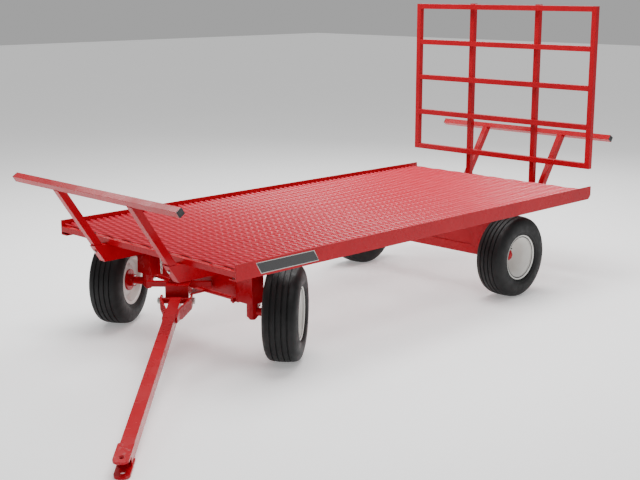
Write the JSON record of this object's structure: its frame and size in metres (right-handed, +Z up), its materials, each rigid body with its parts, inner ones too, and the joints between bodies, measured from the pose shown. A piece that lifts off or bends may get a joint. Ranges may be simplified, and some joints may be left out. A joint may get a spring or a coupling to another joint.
{
  "type": "hay wagon",
  "caption": "Flat-deck farm wagon with raised expanded-metal deck, bale standards, rear rack, steered front wheels and a hinged drawbar.",
  "frame": {"origin": "centre of the deck's load surface, on the wagon's centreline", "axes": "+X forward towards the drawbar, +Y to the wagon's left, +Z up"},
  "size_m": [4.4904, 2.058, 1.812],
  "materials": {
    "red_paint": "gloss enamel",
    "white_paint": "gloss enamel",
    "tyre_rubber": "satin",
    "black_plastic": "matte",
    "zinc_plate": "bright zinc plate",
    "bearing_steel": "ground",
    "bronze": "turned",
    "strip_black": "gloss film"
  },
  "bodies": {
    "wagon": {"cross_members": "red_paint", "deck_sheet": "red_paint", "end_rails": "red_paint", "front_bolster": "red_paint", "keeper_chain": "zinc_plate", "kingpin_bushes": "bronze", "leg_set_screws": "zinc_plate", "leg_sockets": "red_paint", "main_beams": "red_paint", "pivot_bracket": "red_paint", "pivot_pin": "red_paint", "rack_pockets": "red_paint", "rear_axle": "red_paint", "rear_bolster": "red_paint", "side_rails": "red_paint", "side_strip": "strip_black", "spindle_sets_rear": "bearing_steel", "thrust_washer": "zinc_plate"},
    "drawbar_head": {"drawbar_head": "red_paint", "steering_stops": "red_paint", "drive_pin": "zinc_plate"},
    "drawbar": {"tongue_tube": "red_paint", "tongue_ears": "red_paint", "lift_pin": "zinc_plate", "hitch_plates": "red_paint"},
    "knuckle_left": {"knuckle_left": "red_paint", "kingpin_cap_left": "red_paint", "tie_rod_bolt_left": "zinc_plate", "spindle_set_front_left": "bearing_steel"},
    "knuckle_right": {"knuckle_right": "red_paint", "kingpin_cap_right": "red_paint", "tie_rod_bolt_right": "zinc_plate", "spindle_set_front_right": "bearing_steel"},
    "tie_rod": {"tie_rod": "red_paint", "tie_rod_clamp": "red_paint"},
    "front_standard": {"front_standard_bar": "red_paint", "front_standard_legs": "red_paint", "front_bar_plugs": "black_plastic"},
    "rear_standard": {"rear_standard_bar": "red_paint", "rear_standard_legs": "red_paint", "rear_bar_plugs": "black_plastic"},
    "rack": {"rack_rails": "red_paint", "rack_side_tubes": "red_paint", "rack_posts": "red_paint"},
    "wheel_front_left": {"tyre_front_left": "tyre_rubber", "rim_front_left": "white_paint", "hub_front_left": "red_paint", "dust_cap_front_left": "red_paint"},
    "wheel_front_right": {"tyre_front_right": "tyre_rubber", "rim_front_right": "white_paint", "hub_front_right": "red_paint", "dust_cap_front_right": "red_paint"},
    "wheel_rear_left": {"tyre_rear_left": "tyre_rubber", "rim_rear_left": "white_paint", "hub_rear_left": "red_paint", "dust_cap_rear_left": "red_paint"},
    "wheel_rear_right": {"tyre_rear_right": "tyre_rubber", "rim_rear_right": "white_paint", "hub_rear_right": "red_paint", "dust_cap_rear_right": "red_paint"}
  },
  "joints": [
    {"name": "drawbar_swing", "type": "hinge", "parent": "wagon", "child": "drawbar_head", "pos_m": [1.315, 0, -0.263], "axis": [0, 0, 1], "range_deg": [-88, 0]},
    {"name": "drawbar_lift", "type": "hinge", "parent": "drawbar_head", "child": "drawbar", "pos_m": [1.40276, 0.08475, -0.321], "axis": [0.6947, -0.7193, 0], "range_deg": [0, 30]},
    {"name": "steer_left", "type": "hinge", "parent": "wagon", "child": "knuckle_left", "pos_m": [1.19, 0.455, -0.308], "axis": [0, 0, 1], "range_deg": [-68.4, 0]},
    {"name": "steer_right", "type": "hinge", "parent": "wagon", "child": "knuckle_right", "pos_m": [1.19, -0.455, -0.308], "axis": [0, 0, 1], "range_deg": [-68.4, 0]},
    {"name": "tie_rod_swivel", "type": "hinge", "parent": "knuckle_left", "child": "tie_rod", "pos_m": [1.10724, 0.39886, -0.34], "axis": [0, 0, 1], "range_deg": [0, 68.4]},
    {"name": "spin_front_left", "type": "hinge", "parent": "knuckle_left", "child": "wheel_front_left", "pos_m": [1.08115, 0.59584, -0.35], "axis": [-0.6115, 0.7912, 0], "continuous": true},
    {"name": "spin_front_right", "type": "hinge", "parent": "knuckle_right", "child": "wheel_front_right", "pos_m": [1.28061, -0.60821, -0.35], "axis": [0.509, -0.8607, 0], "continuous": true},
    {"name": "spin_rear_left", "type": "hinge", "parent": "wagon", "child": "wheel_rear_left", "pos_m": [-0.833, 0.648, -0.35], "axis": [0, 1, 0], "continuous": true},
    {"name": "spin_rear_right", "type": "hinge", "parent": "wagon", "child": "wheel_rear_right", "pos_m": [-0.833, -0.648, -0.35], "axis": [0, -1, 0], "continuous": true},
    {"name": "front_standard_lift", "type": "slide", "parent": "wagon", "child": "front_standard", "axis": [0.5519, 0, 0.8339], "range_m": [0, 0.12]},
    {"name": "rear_standard_lift", "type": "slide", "parent": "wagon", "child": "rear_standard", "axis": [-0.5519, 0, 0.8339], "range_m": [0, 0.12]},
    {"name": "rack_lift", "type": "slide", "parent": "wagon", "child": "rack", "axis": [0, 0, 1], "range_m": [0, 0.105]}
  ],
  "couplings": [
    {"joint": "steer_left", "follows": "drawbar_swing", "ratio": 0.77614},
    {"joint": "steer_right", "follows": "drawbar_swing", "ratio": 0.77614},
    {"joint": "tie_rod_swivel", "follows": "drawbar_swing", "ratio": -0.77614}
  ]
}
